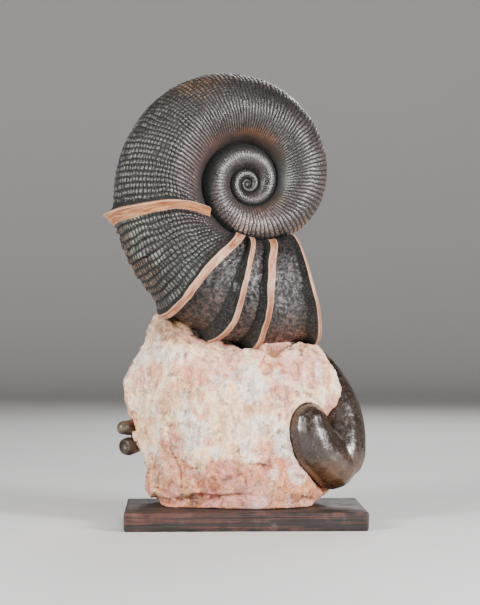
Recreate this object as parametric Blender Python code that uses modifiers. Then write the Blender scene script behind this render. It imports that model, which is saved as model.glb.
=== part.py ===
"""A lytoceras ammonite with flared collars, held in a block of limestone on a wooden plinth.

Metres, +Z up. The origin is the middle of the plinth's underside, and the front faces -Y.
The shell's surface is one sheet on each side: a ring of the coil starts on the venter of the ring
one whorl before it, so neighbouring whorls share their seam and the shell is one closed body.
"""

import math

import bmesh
import bpy
from mathutils import Euler, Vector, noise

# The plinth is a sawn board with its arrises taken off.
PLINTH_LENGTH = 0.320
PLINTH_DEPTH = 0.180
PLINTH_HEIGHT = 0.025
PLINTH_EDGE = 0.0012

# Pieces that touch keep this gap between their solids.
GAP = 0.0003

# The coil: its centre, how far its top leans back, its right side turns away, and it rolls.
COIL_CENTRE = Vector((0.0047, 0.0250, 0.4604))
COIL_LEAN = math.radians(4.2)
COIL_TURN = math.radians(16.4)
COIL_ROLL = math.radians(0.5)

# Radius of the coil's outer line at each growth angle in degrees: 90 is the top of the last whorl,
# 180 its left, 270 its foot, and every whorl inwards is 360 less.
GROWTH = (
    (-1170, 0.0048),
    (-810, 0.0126),
    (-720, 0.0167),
    (-630, 0.0212),
    (-540, 0.0272),
    (-450, 0.0321),
    (-360, 0.0425),
    (-270, 0.0568),
    (-180, 0.0722),
    (-90, 0.0811),
    (0, 0.1130),
    (90, 0.1488),
    (180, 0.1847),
    (270, 0.2211),
    (300, 0.2264),
)
COIL_START = -810
# Inside the table's first row, each whorl is this many times as large as the one before.
WHORL_RATIO = 2.6
SECTION_WIDTH = 1.0
WHORL_OVERLAP = 0.09

# How far each ring's inner end runs ahead of its outer end, in degrees, and the power with which
# it does so on the way in: the last part of the shell has straighter rings than the rest.
LEAD = ((-900, 3.0), (140, 3.0), (193, 26.0), (236, 20.5), (253, 12.5), (267.5, 19.0), (291.5, 14.5))
LEAD_POWER = ((120, 2.0), (193, 3.9), (236, 3.9), (253, 1.0), (267.5, 2.2), (291.5, 3.9))

# Each collar: growth angle of its edge, height, and degrees of rise, of flat edge and of fall.
COLLARS = (
    (193.0, 0.0142, 3.0, 0.6, 5.8),
    (235.2, 0.0118, 6.5, 2.6, 0.7),
    (252.2, 0.0112, 5.5, 2.0, 0.7),
    (266.5, 0.0120, 5.5, 2.6, 0.7),
    (291.3, 0.0155, 7.0, 1.4, 0.7),
)
APERTURE = COLLARS[-1][0] + COLLARS[-1][3]
APERTURE_WALL = 0.16
APERTURE_DEPTH = 0.010
RING_STEP = 7.5
FLANK_STEPS = 6
VENTER_TURN = 31
VENTER_STEPS = 3
RIB_HEIGHT = 0.0006

# The block of limestone. Its outline from the front is its left and right edge at each height,
# and its top at each place along X; its front and back are depths at each place along X.
BLOCK_FOOT = PLINTH_HEIGHT + GAP
BLOCK_STEPS = 11
BLOCK_LEFT = (
    (0.025, -0.1125),
    (0.038, -0.1170),
    (0.046, -0.1265),
    (0.067, -0.1275),
    (0.086, -0.1300),
    (0.097, -0.1410),
    (0.119, -0.1500),
    (0.141, -0.1505),
    (0.154, -0.1580),
    (0.169, -0.1645),
    (0.187, -0.1640),
    (0.219, -0.1500),
    (0.242, -0.1380),
    (0.265, -0.1270),
    (0.281, -0.1190),
)
BLOCK_RIGHT = (
    (0.025, 0.0900),
    (0.029, 0.1040),
    (0.039, 0.1165),
    (0.048, 0.1120),
    (0.073, 0.1030),
    (0.114, 0.1030),
    (0.140, 0.1120),
    (0.156, 0.1350),
    (0.176, 0.1375),
    (0.190, 0.1320),
    (0.206, 0.1235),
    (0.221, 0.1140),
    (0.240, 0.0980),
)
BLOCK_TOP = (
    (-0.120, 0.2810),
    (-0.097, 0.2798),
    (-0.059, 0.2560),
    (-0.025, 0.2490),
    (0.029, 0.2450),
    (0.098, 0.2395),
)
BLOCK_FRONT = (
    (-0.165, -0.020),
    (-0.127, -0.024),
    (-0.110, -0.040),
    (-0.080, -0.052),
    (0.000, -0.058),
    (0.081, -0.052),
    (0.115, -0.026),
    (0.140, -0.012),
)
BLOCK_BACK = ((-0.165, 0.052), (-0.110, 0.072), (0.000, 0.082), (0.090, 0.078), (0.140, 0.055))
# How far the front stands out at each distance below the top, as a share of its depth at the foot:
# the top is a narrow crest under the shell, and the front falls away from it as a round shoulder.
BLOCK_SWELL = (
    (0.0, -0.10),
    (0.008, 0.25),
    (0.022, 0.62),
    (0.050, 0.92),
    (0.090, 1.10),
    (0.160, 1.12),
    (0.240, 1.0),
)
# The back of the crest rises higher, so the foot leans against it.
BLOCK_BACK_RISE = 0.016
BLOCK_CHIPS = 12

# The hook-shaped fossil: points of its limb and of its upturned tip, each with its radius.
HOOK_LIMB = (
    (0.0800, 0.048, 0.2340, 0.0190),
    (0.1028, 0.040, 0.2069, 0.0247),
    (0.1235, 0.025, 0.1665, 0.0300),
    (0.1330, 0.010, 0.1293, 0.0319),
    (0.1310, -0.004, 0.0935, 0.0340),
)
HOOK_TIP = (
    (0.1165, -0.018, 0.0800, 0.0335),
    (0.0932, -0.032, 0.1028, 0.0333),
    (0.0849, -0.036, 0.1271, 0.0311),
    (0.0838, -0.036, 0.1350, 0.0285),
)
HOOK_SPLINE_STEPS = 3
TUBE_SIDES_LEVEL = 5

# The small ammonite is an upright bend of tube. Its two broken ends stand out of the block's left
# side, turned to the front: the upper one is round, and the lower one is hollow.
SMALL_BEND_CENTRE = Vector((-0.1504, 0.0178, 0.1165))
SMALL_BEND_RADIUS = 0.0127
SMALL_BEND_WIDTH = 0.0108
SMALL_TURN = math.radians(50)
# Of the upper and the lower arm: length past the bend, and radius at the end.
SMALL_ARMS = ((0.0180, 0.0098), (0.0105, 0.0126))
SMALL_HOLLOW = 0.0082
SMALL_HOLLOW_REACH = 0.78


def smooth_value(table, at):
    """The table's value at a place, on a smooth curve through its rows."""
    places = [row[0] for row in table]
    last = len(table) - 2
    k = next((i for i in range(last + 1) if at <= places[i + 1]), last)

    def slope(i):
        low, high = max(i - 1, 0), min(i + 1, len(table) - 1)
        return (table[high][1] - table[low][1]) / (places[high] - places[low])

    span = places[k + 1] - places[k]
    t = min(max((at - places[k]) / span, 0.0), 1.0)
    ease = t * t * (3 - 2 * t)
    rise = t * (1 - t) * span
    bend = rise * ((1 - t) * slope(k) - t * slope(k + 1))
    return (1 - ease) * table[k][1] + ease * table[k + 1][1] + bend


def even_value(table, at):
    """The table's value at a place, straight between its rows."""
    for (low, a), (high, b) in zip(table, table[1:]):
        if at <= high:
            t = min(max((at - low) / (high - low), 0.0), 1.0)
            return a + (b - a) * t
    return table[-1][1]


def outer_radius(angle):
    """Radius of the coil's outer line, without collars."""
    logs = [(row[0], math.log(row[1])) for row in GROWTH]
    if angle < GROWTH[0][0]:
        return GROWTH[0][1] * WHORL_RATIO ** ((angle - GROWTH[0][0]) / 360)
    return math.exp(smooth_value(logs, angle))


def lead(angle):
    return smooth_value(LEAD, angle)


def inner_radius(angle):
    """Radius of a ring's inner end, which bites a little into the whorl inside it."""
    below = outer_radius(angle + lead(angle) - 360)
    return below - WHORL_OVERLAP * (outer_radius(angle) - below) / 2


def collar_height(angle):
    """How far the collars lift the shell's surface at a growth angle."""
    height = 0.0
    for edge, tall, rise, flat, fall in COLLARS:
        if edge - rise < angle <= edge:
            t = (angle - edge + rise) / rise
            height = tall * t * t
        elif edge < angle <= edge + flat:
            height = tall
        elif edge + flat < angle < edge + flat + fall:
            height = tall * (1 - (angle - edge - flat) / fall)
    return height


def ring_angles():
    """Growth angles of the last whorl's rings, closer together at the collars."""
    marks = []
    for edge, _, rise, flat, fall in COLLARS:
        marks += [edge - rise, edge - rise * 0.4, edge, edge + flat]
        if edge + flat + fall < APERTURE:
            marks.append(edge + flat + fall)
    first = APERTURE - 360 + lead(APERTURE)
    angles = [a for a in marks if a <= APERTURE + 0.001]
    steps = int((APERTURE - first) / RING_STEP)
    for i in range(1, steps + 1):
        a = first + (APERTURE - first) * i / steps
        if min(abs(a - m) for m in angles) > RING_STEP * 0.45:
            angles.append(a)
    return sorted(angles)


def ring_shape(angle):
    """Centre radius and half height of a ring's round section."""
    out, inside = outer_radius(angle), inner_radius(angle)
    return (out + inside) / 2, (out - inside) / 2


def seam_turn(inner, outer):
    """Turns round the section, from the venter, at which two neighbouring rings cross."""
    (c1, r1), (c2, r2) = inner, outer
    gap = c2 - c1
    along = (gap * gap + r1 * r1 - r2 * r2) / (2 * gap)
    return math.acos(along / r1), math.acos(max(-1.0, (along - gap) / r2))


def ring_point(angle, turn, ahead, lift=0.0):
    """A point of the ring at a growth angle; turn goes round the section from the venter."""
    centre, half = ring_shape(angle)
    inward = (1 - math.cos(turn)) / 2
    theta = math.radians(angle + ahead * inward ** smooth_value(LEAD_POWER, angle))
    radius = centre + (half + lift) * math.cos(turn)
    side = (half * SECTION_WIDTH + lift) * math.sin(turn)
    return Vector((radius * math.cos(theta), -side, radius * math.sin(theta)))


def ring_ends(angle):
    """Turn of a ring's inner end, and how far its dorsal line would run ahead."""
    below = ring_shape(angle + lead(angle) - 360)
    inner_turn = seam_turn(below, ring_shape(angle))[1]
    reach = ((1 - math.cos(inner_turn)) / 2) ** smooth_value(LEAD_POWER, angle)
    return inner_turn, lead(angle) / reach


def add_fan(bm, loop, tip):
    """Closes a loop of vertices with a fan to one point."""
    middle = bm.verts.new(tip)
    for a, b in zip(loop, loop[1:] + loop[:1]):
        bm.faces.new((a, b, middle))


def add_strip(bm, one, two):
    """Joins two rows of vertices with faces; a shared corner gives a triangle."""
    for i in range(len(one) - 1):
        corners = []
        for v in (one[i], one[i + 1], two[i + 1], two[i]):
            if v not in corners:
                corners.append(v)
        if len(corners) > 2:
            bm.faces.new(corners)


def shell_rings():
    """Growth angles of every ring, and how many make one whorl."""
    whorl = ring_angles()
    count = len(whorl)
    angles = list(whorl)
    while angles[0] > COIL_START:
        later = angles[count - 1]
        angles.insert(0, later + lead(later) - 360)
    return angles, count


def close_mouth(bm, loop):
    """The shell's mouth: a rim of wall, and the rock fill set back inside it."""
    middle = sum((v.co for v in loop), Vector()) / len(loop)
    theta = math.radians(APERTURE)
    back = Vector((math.sin(theta), 0.0, -math.cos(theta))) * APERTURE_DEPTH
    rows = [loop]
    for shrink, depth in ((APERTURE_WALL, 0.0), (APERTURE_WALL * 1.5, 1.0)):
        rows.append([bm.verts.new(v.co.lerp(middle, shrink) + back * depth) for v in loop])
    for one, two in zip(rows, rows[1:]):
        add_strip(bm, one + one[:1], two + two[:1])
    add_fan(bm, rows[-1], middle + back * 0.8)


def build_shell():
    """The coiled shell with its collars, in its own upright frame about the coil's centre."""
    angles, whorl = shell_rings()
    bm = bmesh.new()
    rings = []
    for j, angle in enumerate(angles):
        covered = j < len(angles) - whorl
        inner_turn, ahead = ring_ends(angle)
        if covered:
            outer_turn = seam_turn(ring_shape(angle), ring_shape(angles[j + whorl]))[0]
        else:
            outer_turn = math.radians(VENTER_TURN)
        rings.append((angle, inner_turn, outer_turn, ahead, covered))

    sides = {1: [], -1: []}
    venters = []
    for j, (angle, inner_turn, outer_turn, ahead, covered) in enumerate(rings):
        rib = 0.0 if covered else RIB_HEIGHT * (1 if j % 2 else -1)
        for side, rows in sides.items():
            row = []
            for i in range(FLANK_STEPS + 1):
                share = i / FLANK_STEPS
                if i == 0 and j >= whorl:
                    row.append(rows[j - whorl][-1])
                    continue
                turn = inner_turn + (outer_turn - inner_turn) * share
                lift = (collar_height(angle) + rib) * min(1.0, share * 2.6)
                row.append(bm.verts.new(ring_point(angle, side * turn, ahead, lift)))
            rows.append(row)
        middle = []
        if not covered or j == len(rings) - whorl - 1:
            for i in range(1, VENTER_STEPS):
                turn = outer_turn * (1 - 2 * i / VENTER_STEPS)
                lift = collar_height(angle) + rib
                middle.append(bm.verts.new(ring_point(angle, turn, ahead, lift)))
        venters.append(middle)

    def profile(j):
        return sides[1][j] + venters[j] + sides[-1][j][::-1]

    for j in range(len(rings) - 1):
        if venters[j] and venters[j + 1]:
            add_strip(bm, profile(j), profile(j + 1))
        else:
            add_strip(bm, sides[1][j], sides[1][j + 1])
            add_strip(bm, sides[-1][j][::-1], sides[-1][j + 1][::-1])

    for side, rows in sides.items():
        loop = [row[0] for row in rows[: whorl + 1]] + rows[0][-2:0:-1]
        add_fan(bm, loop, Vector((0.0, -side * 0.0035, 0.0)))

    last = len(rings) - 1
    close_mouth(bm, profile(last) + venters[last - whorl][::-1])
    bmesh.ops.remove_doubles(bm, verts=bm.verts, dist=1e-6)
    bmesh.ops.recalc_face_normals(bm, faces=bm.faces)
    return mesh_object(bm, "ammonite_shell")


def cradle_rows():
    """Growth angles and heights of a surface that lies just outside the last collars."""
    clear, step = GAP + RIB_HEIGHT + 0.0004, 0.8
    marks = [(a, collar_height(a)) for a in ring_angles() if a > 214]
    marks.append((APERTURE + 1.2, marks[-1][1]))
    places = sorted(a + d for a, _ in marks for d in (-step, 0.0, step))
    rows = []
    for place in places:
        if rows and place - rows[-1][0] < 0.15:
            continue
        near = max(even_value(marks, place + d) for d in (-step, 0.0, step))
        rows.append((place, near + clear))
    return rows


def build_cradle():
    """The hollow that the shell's foot lies in, shaped like the foot and a little larger."""
    bm = bmesh.new()
    rows = []
    for angle, lift in cradle_rows():
        ahead = ring_ends(angle)[1]
        row = []
        for k in range(36):
            turn = math.radians(10 * k)
            row.append(bm.verts.new(ring_point(angle, turn, ahead, lift)))
        rows.append(row)
    for one, two in zip(rows, rows[1:]):
        add_strip(bm, one + one[:1], two + two[:1])
    for row in (rows[0], rows[-1]):
        add_fan(bm, row, sum((v.co for v in row), Vector()) / len(row))
    bmesh.ops.recalc_face_normals(bm, faces=bm.faces)
    return mesh_object(bm, "shell_cradle")


def block_point(a, b, c):
    """A point of the block from a place in the cube: a across, b from front to back, c up."""
    round_off = 0.18
    share = (a + 1) / 2
    plan = 1 - round_off * (abs(b) ** 4)
    across = 1 - round_off * 0.6 * (abs(a) ** 4)
    up = (c + 1) / 2
    left_height = BLOCK_FOOT + up * (BLOCK_TOP[0][1] - BLOCK_FOOT)
    right_height = BLOCK_FOOT + up * (BLOCK_TOP[-1][1] - BLOCK_FOOT)
    left = even_value(BLOCK_LEFT, left_height)
    right = even_value(BLOCK_RIGHT, right_height)
    middle = (left + right) / 2
    x = middle + (left + (right - left) * share - middle) * plan
    top = even_value(BLOCK_TOP, x)
    straight = left_height + (right_height - left_height) * share
    bulge = top - (BLOCK_TOP[0][1] + (BLOCK_TOP[-1][1] - BLOCK_TOP[0][1]) * share)
    z = straight + bulge * up**3
    swell = even_value(BLOCK_SWELL, top - z)
    front = even_value(BLOCK_FRONT, x) * swell * across
    back = even_value(BLOCK_BACK, x) * (0.62 + 0.38 * swell) * across
    y = front + (back - front) * (b + 1) / 2
    ends = even_value(((-0.112, 0.0), (-0.080, 1.0), (0.060, 1.0), (0.095, 0.0)), x)
    z += BLOCK_BACK_RISE * ends * up**3 * max(0.0, b + 0.2) / 1.2
    return Vector((x, y, z))


def build_block():
    """The rough block of limestone, before the fossils are let into it."""
    bm = bmesh.new()
    bmesh.ops.create_cube(bm, size=2.0)
    bmesh.ops.subdivide_edges(bm, edges=bm.edges, cuts=BLOCK_STEPS - 1, use_grid_fill=True)
    foot = [v for v in bm.verts if v.co.z < -0.999]
    for v in bm.verts:
        v.co = block_point(*v.co)

    noise.seed_set(7)
    middle = Vector((-0.01, 0.008, 0.15))
    for i in range(BLOCK_CHIPS):
        turn = math.radians(360 * (i + 0.37) / BLOCK_CHIPS)
        tilt = 0.55 * math.sin(2.3 * i)
        facing = Vector((0.55 * math.cos(turn), -1.0 if i % 3 else 1.0, tilt)).normalized()
        reach = max((v.co - middle).dot(facing) for v in bm.verts)
        limit = reach - 0.0035 - 0.004 * (i % 2)
        for v in bm.verts:
            over = (v.co - middle).dot(facing) - limit
            if over > 0:
                v.co -= facing * over * 0.9
    for v in bm.verts:
        coarse = noise.noise_vector(v.co * 22)
        fine = noise.noise_vector(v.co * 70)
        v.co += Vector((coarse.x * 0.0025, coarse.y * 0.0065, coarse.z * 0.002)) + fine * 0.0012
    for v in foot:
        v.co.z = BLOCK_FOOT
    for v in bm.verts:
        v.co.z = max(v.co.z, BLOCK_FOOT)
    bmesh.ops.recalc_face_normals(bm, faces=bm.faces)
    return mesh_object(bm, "matrix_block", 25)


def smooth_path(points, steps):
    """Points with radii on a smooth line through the given ones."""
    rows = []
    total = (len(points) - 1) * steps
    columns = [[(i, p[c]) for i, p in enumerate(points)] for c in range(4)]
    for i in range(total + 1):
        rows.append(tuple(smooth_value(column, i / steps) for column in columns))
    return rows


def round_end(rows):
    """Adds a round cap after the last point."""
    end, before = Vector(rows[-1][:3]), Vector(rows[-2][:3])
    radius = rows[-1][3]
    way = (end - before).normalized()
    for degrees in (30, 60, 80):
        t = math.radians(degrees)
        place = end + way * radius * math.sin(t)
        rows.append((*place, radius * math.cos(t)))
    return rows


def tube(name, rows):
    """A closed tube along points with radii, made from a curve."""
    curve = bpy.data.curves.new(name, "CURVE")
    curve.dimensions = "3D"
    curve.bevel_depth = 1.0
    curve.bevel_resolution = TUBE_SIDES_LEVEL
    curve.use_fill_caps = True
    spline = curve.splines.new("POLY")
    spline.points.add(len(rows) - 1)
    for point, (x, y, z, radius) in zip(spline.points, rows):
        point.co = (x, y, z, 1.0)
        point.radius = radius
    guide = bpy.data.objects.new(name + "_line", curve)
    bpy.context.scene.collection.objects.link(guide)
    bpy.context.view_layer.update()
    depsgraph = bpy.context.evaluated_depsgraph_get()
    mesh = bpy.data.meshes.new_from_object(guide.evaluated_get(depsgraph))
    bm = bmesh.new()
    bm.from_mesh(mesh)
    bmesh.ops.remove_doubles(bm, verts=bm.verts, dist=1e-5)
    bmesh.ops.recalc_face_normals(bm, faces=bm.faces)
    bpy.data.objects.remove(guide)
    bpy.data.curves.remove(curve)
    bpy.data.meshes.remove(mesh)
    return mesh_object(bm, name)


def bed_for(obj):
    """The hollow that a piece lies in: the same shape, grown by the gap."""
    bm = bmesh.new()
    bm.from_mesh(obj.data)
    bm.normal_update()
    for v, way in [(v, v.normal.copy()) for v in bm.verts]:
        v.co += way * GAP * 1.4
    return mesh_object(bm, obj.name + "_bed")


def hook_rows():
    limb = round_end(smooth_path(HOOK_LIMB, HOOK_SPLINE_STEPS))
    tip = round_end(round_end(smooth_path(HOOK_TIP, HOOK_SPLINE_STEPS))[::-1])
    return limb, tip


def small_way():
    """The way that the small ammonite's ends point."""
    return Vector((-math.cos(SMALL_TURN), -math.sin(SMALL_TURN), 0.0))


def small_end(arm):
    """Middle of the round end of the upper (0) or the lower (1) arm."""
    up = Vector((0.0, 0.0, SMALL_BEND_RADIUS if arm == 0 else -SMALL_BEND_RADIUS))
    return SMALL_BEND_CENTRE + up + small_way() * SMALL_ARMS[arm][0]


def small_rows():
    """The bent tube of the small ammonite, from its upper end round to its lower end."""
    rows = [(*small_end(0), SMALL_ARMS[0][1])]
    for i in range(9):
        t = math.radians(90 - 22.5 * i)
        place = SMALL_BEND_CENTRE - small_way() * SMALL_BEND_RADIUS * math.cos(t)
        rows.append((place.x, place.y, place.z + SMALL_BEND_RADIUS * math.sin(t), SMALL_BEND_WIDTH))
    rows.append((*small_end(1), SMALL_ARMS[1][1]))
    return round_end(round_end(rows)[::-1])[::-1]


def small_hollow():
    """The hollow in the small ammonite's lower end."""
    bm = bmesh.new()
    bmesh.ops.create_uvsphere(bm, u_segments=12, v_segments=8, radius=SMALL_HOLLOW)
    hollow = mesh_object(bm, "small_ammonite_hollow")
    hollow.location = small_end(1) + small_way() * SMALL_ARMS[1][1] * SMALL_HOLLOW_REACH
    return hollow


def mesh_object(bm, name, smooth_angle=40):
    """An object from a bmesh, shaded smooth but for its sharp edges."""
    mesh = bpy.data.meshes.new(name)
    bm.to_mesh(mesh)
    bm.free()
    mesh.shade_smooth()
    mesh.set_sharp_from_angle(angle=math.radians(smooth_angle))
    return bpy.data.objects.new(name, mesh)


def boolean(obj, other, operation):
    cut = obj.modifiers.new(operation.lower() + "_" + other.name, "BOOLEAN")
    cut.object = other
    cut.operation = operation
    cut.solver = "EXACT"


def paint(obj, colour, roughness, metallic=0.0):
    """Gives a piece its own material."""
    material = bpy.data.materials.new(obj.name)
    material.use_nodes = True
    shader = material.node_tree.nodes["Principled BSDF"]
    shader.inputs["Base Color"].default_value = (*colour, 1.0)
    shader.inputs["Roughness"].default_value = roughness
    shader.inputs["Metallic"].default_value = metallic
    obj.data.materials.append(material)


def main():
    for obj in list(bpy.data.objects):
        bpy.data.objects.remove(obj)
    fossil = bpy.data.collections.new("lytoceras_ammonite")
    cutters = bpy.data.collections.new("cutters")
    bpy.context.scene.collection.children.link(fossil)
    bpy.context.scene.collection.children.link(cutters)
    display = bpy.data.objects.new("display", None)
    fossil.objects.link(display)

    def place_coil(obj):
        obj.rotation_mode = "YXZ"
        obj.rotation_euler = Euler((-COIL_LEAN, COIL_ROLL, COIL_TURN), "YXZ")
        obj.location = COIL_CENTRE

    shell = build_shell()
    place_coil(shell)
    cradle = build_cradle()
    place_coil(cradle)

    limb_rows, tip_rows = hook_rows()
    hook = tube("hook_fossil", limb_rows)
    tip = tube("hook_tip", tip_rows)
    boolean(hook, tip, "UNION")
    boolean(hook, cradle, "DIFFERENCE")
    limb_bed = bed_for(hook)
    tip_bed = bed_for(tip)

    small = tube("small_ammonite", small_rows())
    small_bed = bed_for(small)
    hollow = small_hollow()
    boolean(small, hollow, "DIFFERENCE")

    block = build_block()
    for bed in (cradle, limb_bed, tip_bed, small_bed):
        boolean(block, bed, "DIFFERENCE")

    bm = bmesh.new()
    bmesh.ops.create_cube(bm, size=1.0)
    for v in bm.verts:
        v.co = Vector((v.co.x * PLINTH_LENGTH, v.co.y * PLINTH_DEPTH, v.co.z * PLINTH_HEIGHT))
    plinth = mesh_object(bm, "plinth", 30)
    plinth.location = (0.0, 0.0, PLINTH_HEIGHT / 2)
    edge = plinth.modifiers.new("worn_arris", "BEVEL")
    edge.width = PLINTH_EDGE
    edge.segments = 2
    edge.limit_method = "ANGLE"

    for obj in (shell, block, hook, small, plinth):
        fossil.objects.link(obj)
        obj.parent = display
    for obj in (cradle, tip, limb_bed, tip_bed, small_bed, hollow):
        cutters.objects.link(obj)
        obj.hide_render = True
        obj.display_type = "WIRE"

    paint(shell, (0.070, 0.062, 0.058), 0.32)
    paint(block, (0.610, 0.490, 0.420), 0.85)
    paint(hook, (0.085, 0.038, 0.018), 0.30)
    paint(small, (0.110, 0.050, 0.024), 0.45)
    paint(plinth, (0.020, 0.016, 0.014), 0.50)


main()
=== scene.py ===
"""Looks of the lytoceras ammonite: its shell, the limestone with its other fossils, and the plinth.

Metres, in the frame of the solids: +Z up, the front faces -Y, the origin under the plinth's middle.
"""

import math

import bpy
import numpy as np
from mathutils import Euler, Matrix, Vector
from mathutils.bvhtree import BVHTree


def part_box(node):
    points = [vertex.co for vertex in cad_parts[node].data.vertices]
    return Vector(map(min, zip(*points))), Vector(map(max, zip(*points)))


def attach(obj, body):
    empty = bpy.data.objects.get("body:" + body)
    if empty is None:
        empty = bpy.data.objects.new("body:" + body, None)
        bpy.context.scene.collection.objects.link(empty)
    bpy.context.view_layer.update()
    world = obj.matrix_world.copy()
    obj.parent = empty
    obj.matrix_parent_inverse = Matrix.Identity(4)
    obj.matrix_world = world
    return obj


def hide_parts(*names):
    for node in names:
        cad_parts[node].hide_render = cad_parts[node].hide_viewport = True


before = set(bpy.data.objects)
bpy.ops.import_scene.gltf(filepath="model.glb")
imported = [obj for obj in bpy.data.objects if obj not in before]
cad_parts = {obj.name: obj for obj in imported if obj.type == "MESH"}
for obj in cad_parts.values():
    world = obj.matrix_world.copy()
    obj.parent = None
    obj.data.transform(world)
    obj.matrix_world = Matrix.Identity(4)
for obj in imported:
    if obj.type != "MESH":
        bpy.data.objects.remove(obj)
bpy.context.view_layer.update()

# The coil, with the same values as its solid.
COIL_CENTRE = Vector((0.0047, 0.0250, 0.4604))
COIL_TURNS = Euler((math.radians(-4.2), math.radians(0.5), math.radians(16.4)), "YXZ")
GROWTH = (
    (-1170, 0.0048),
    (-810, 0.0126),
    (-720, 0.0167),
    (-630, 0.0212),
    (-540, 0.0272),
    (-450, 0.0321),
    (-360, 0.0425),
    (-270, 0.0568),
    (-180, 0.0722),
    (-90, 0.0811),
    (0, 0.1130),
    (90, 0.1488),
    (180, 0.1847),
    (270, 0.2211),
    (300, 0.2264),
)
WHORL_RATIO = 2.6
SECTION_WIDTH = 1.0
WHORL_OVERLAP = 0.09
LEAD = ((-900, 3.0), (140, 3.0), (193, 26.0), (236, 20.5), (253, 12.5), (267.5, 19.0), (291.5, 14.5))
LEAD_POWER = ((120, 2.0), (193, 3.9), (236, 3.9), (253, 1.0), (267.5, 2.2), (291.5, 3.9))
# Each collar: growth angle of its edge, height, and degrees of rise, of flat edge and of fall.
COLLARS = (
    (193.0, 0.0142, 3.0, 0.6, 5.8),
    (235.2, 0.0118, 6.5, 2.6, 0.7),
    (252.2, 0.0112, 5.5, 2.0, 0.7),
    (266.5, 0.0120, 5.5, 2.6, 0.7),
    (291.3, 0.0155, 7.0, 1.4, 0.7),
)
APERTURE = COLLARS[-1][0] + COLLARS[-1][3]
COIL_START = -1400

# Ribs: degrees of growth from one to the next, and their depth in metres.
RIB_SPACING = ((-1400, 12.0), (-810, 9.0), (-450, 6.5), (-200, 5.6), (-90, 5.2), (-20, 4.2), (30, 3.1),
               (90, 2.5), (135, 2.3), (165, 2.65), (190, 2.8), (205, 2.9), (293, 2.8))
RIB_DEPTH = ((-1400, 0.0), (-810, 0.0001), (-450, 0.0002), (-200, 0.0004), (-90, 0.0008), (0, 0.0010),
             (90, 0.0013), (180, 0.0016), (235, 0.0015), (236, 0.0002), (250, 0.0), (293, 0.0))
# Turns from the venter over which the ribs fade, and the depth at which a rib's groove is fully dark.
RIB_FADE = (124, 146)
DARK_GROOVE = 0.0009
# Spiral lines that cut the ribs into beads: their depth, and how far round the section they reach.
BEADS = 72
BEAD_DEPTH = ((-100, 0.0), (-20, 0.0002), (60, 0.0005), (120, 0.0010), (180, 0.0014), (215, 0.0014),
              (235, 0.0012), (236, 0.0002), (250, 0.0), (293, 0.0))
BEAD_REACH = ((-100, 30), (60, 45), (90, 62), (140, 88), (185, 108), (193, 140), (293, 140))
# The net of ribs and beads ends over this growth, and wanders within this turn from the venter.
NET_END = (235.4, 236.0)
NET_TURN = 165
SIDES_OUTER = 4 * BEADS
SIDES_INNER = 96
# The collars' edges: width at the venter and at the inner end, and how far the edge is moved along the
# growth at the inner end. The first and the last collar's edges keep their width in degrees.
COLLAR_EDGES = (
    None,
    (0.0085, 0.0128, -0.0015),
    (0.0062, 0.0072, 0.0),
    (0.0072, 0.0098, 0.0005),
    None,
)
# Turns round the section over which each collar ends at its inner side.
COLLAR_ENDS = ((129, 143), (150, 163), (150, 163), (150, 163), (150, 163))
# Degrees by which the first collar curls at its inner end, and is level across the flank. The middle of
# both lies so many degrees past its edge, and they die away over the reach after it.
FIRST_COLLAR_CURL = 3.4
FIRST_COLLAR_LEVEL = 0.9
FIRST_COLLAR_BEND = (3, 9)
# Share of the first collar's fall that its pale edge covers.
FIRST_EDGE_FALL = 0.75
# Share of each collar's rise at which its recess, painted dark as shade, starts and is full.
SHADED_RECESSES = ((0.05, 0.42), (0.72, 0.95), (0.30, 0.70), (0.25, 0.65), (0.50, 0.78))
# How steeply each collar rises: the power of its slope.
RISE_POWERS = (2.2, 2.2, 3.4, 3.4, 2.6)
# Bend of the third and fourth collars: turn round the section, and degrees along the growth. It dies
# away over the reach, in degrees of growth.
COLLAR_BENDS = (
    None,
    None,
    ((0, 1.5), (43, 3.0), (74, 0.0), (97, -2.1), (121, -3.0), (150, -0.8), (180, 0.0)),
    ((0, 1.2), (43, 2.2), (74, 1.4), (97, -1.3), (121, -3.5), (150, -0.8), (180, 0.0)),
    None,
)
BEND_REACH = 8.0
# How far the painted shade along each seam reaches, as a share of the section's half height.
SEAM_SHADE_REACH = 0.11
# The shadowed outer flank of the covered whorls: growth angle, and its reach from the seam.
FLANK_SHADE = ((-620, 0.004), (-420, 0.006), (-300, 0.012), (-250, 0.020), (-190, 0.022),
               (-130, 0.010), (-80, 0.006))
# Rows of the mouth, inwards from its rim: share of the way to the middle, depth, and roughness.
MOUTH_RIM = (
    (0.020, 0.0006, 0.0),
    (0.055, 0.0009, 0.0),
    (0.085, 0.0016, 0.0),
    (0.105, 0.0034, 0.0),
    (0.125, 0.0062, 0.0),
    (0.150, 0.0088, 0.0),
)
FILL_STEPS = 30
MOUTH_FILL = [(0.17 + 0.80 * k / FILL_STEPS, 0.0085 - 0.0022 * k / FILL_STEPS, 0.0024)
              for k in range(FILL_STEPS + 1)]
MOUTH_ROWS = (*MOUTH_RIM, *MOUTH_FILL)
MOUTH_WALL = (34, 28, 25)
MOUTH_ROCK = (112, 90, 74)
MOUTH_ROCK_PALE = (140, 118, 100)
# Worn tiles of the shell's outer layer, between the first two collars: their size in ribs and in beads,
# the growth over which they start and end, the turns from the venter over which they fade, their height,
# their tilt and their colour.
TILE_RIBS = 2.2
TILE_BEADS = 4.0
TILE_GROWTH = (196.5, 198.0, 226.0, 229.0)
TILE_TURNS = (52, 62)
TILE_HEIGHT = 0.0008
TILE_TILT = 0.0030
TILE_COLOUR = (88, 94, 84)
# Height of the shell's swells and lumps, of its wrinkles past the net, and of the recesses' fine beads.
SWELL = 0.0006
LUMP = 0.00022
WRINKLE = 0.0008
FINE_BEAD = 0.0002


# Section: numbers and noise.


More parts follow.
